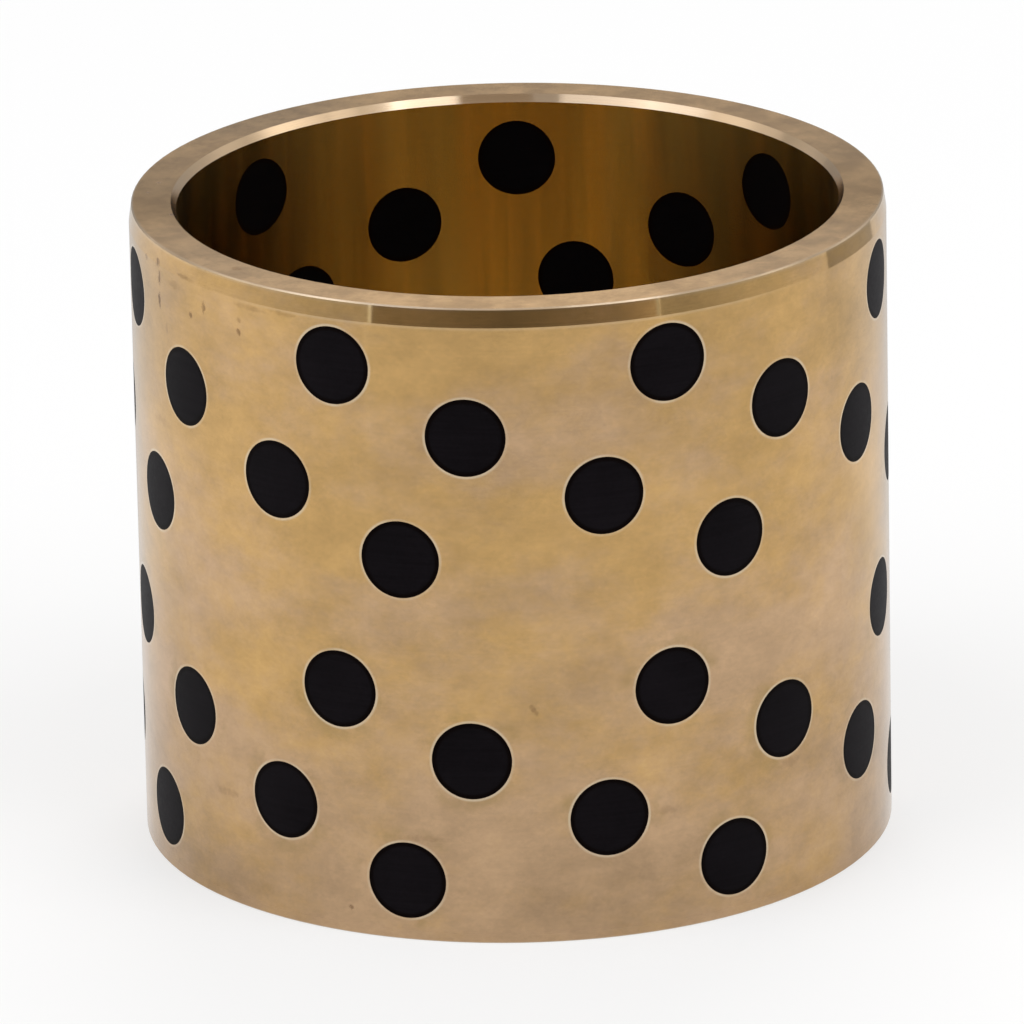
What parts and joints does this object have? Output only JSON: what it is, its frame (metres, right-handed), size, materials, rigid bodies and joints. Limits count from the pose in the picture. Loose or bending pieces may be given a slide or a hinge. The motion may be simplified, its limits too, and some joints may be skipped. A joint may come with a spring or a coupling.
{
  "type": "graphite plugged bushing",
  "caption": "Plain cylindrical bronze sleeve bushing with staggered rows of flush solid-lubricant graphite plugs through its wall, chamfered bore and a lead-in at one end.",
  "frame": {"origin": "centre of the plain end face's circle, on the bore axis, where the bushing stands", "axes": "+Z along the bore axis, from the plain end towards the end with the lead-in; -Y is the side seen from the front"},
  "size_m": [0.08, 0.08, 0.0695],
  "materials": {
    "bronze": "fine turned, slightly oxidised",
    "graphite": "matt black, ground flush"
  },
  "bodies": {
    "root": {"bronze_sleeve": "bronze", "graphite_plug_row1_1": "graphite", "graphite_plug_row1_2": "graphite", "graphite_plug_row1_3": "graphite", "graphite_plug_row1_4": "graphite", "graphite_plug_row1_5": "graphite", "graphite_plug_row1_6": "graphite", "graphite_plug_row1_7": "graphite", "graphite_plug_row2_1": "graphite", "graphite_plug_row2_2": "graphite", "graphite_plug_row2_3": "graphite", "graphite_plug_row2_4": "graphite", "graphite_plug_row2_5": "graphite", "graphite_plug_row2_6": "graphite", "graphite_plug_row2_7": "graphite", "graphite_plug_row3_1": "graphite", "graphite_plug_row3_2": "graphite", "graphite_plug_row3_3": "graphite", "graphite_plug_row3_4": "graphite", "graphite_plug_row3_5": "graphite", "graphite_plug_row3_6": "graphite", "graphite_plug_row3_7": "graphite", "graphite_plug_row4_1": "graphite", "graphite_plug_row4_2": "graphite", "graphite_plug_row4_3": "graphite", "graphite_plug_row4_4": "graphite", "graphite_plug_row4_5": "graphite", "graphite_plug_row4_6": "graphite", "graphite_plug_row4_7": "graphite", "graphite_plug_row5_1": "graphite", "graphite_plug_row5_2": "graphite", "graphite_plug_row5_3": "graphite", "graphite_plug_row5_4": "graphite", "graphite_plug_row5_5": "graphite", "graphite_plug_row5_6": "graphite", "graphite_plug_row5_7": "graphite", "graphite_plug_row6_1": "graphite", "graphite_plug_row6_2": "graphite", "graphite_plug_row6_3": "graphite", "graphite_plug_row6_4": "graphite", "graphite_plug_row6_5": "graphite", "graphite_plug_row6_6": "graphite", "graphite_plug_row6_7": "graphite", "graphite_plug_row7_1": "graphite", "graphite_plug_row7_2": "graphite", "graphite_plug_row7_3": "graphite", "graphite_plug_row7_4": "graphite", "graphite_plug_row7_5": "graphite", "graphite_plug_row7_6": "graphite", "graphite_plug_row7_7": "graphite", "graphite_plug_row8_1": "graphite", "graphite_plug_row8_2": "graphite", "graphite_plug_row8_3": "graphite", "graphite_plug_row8_4": "graphite", "graphite_plug_row8_5": "graphite", "graphite_plug_row8_6": "graphite", "graphite_plug_row8_7": "graphite"}
  },
  "joints": []
}
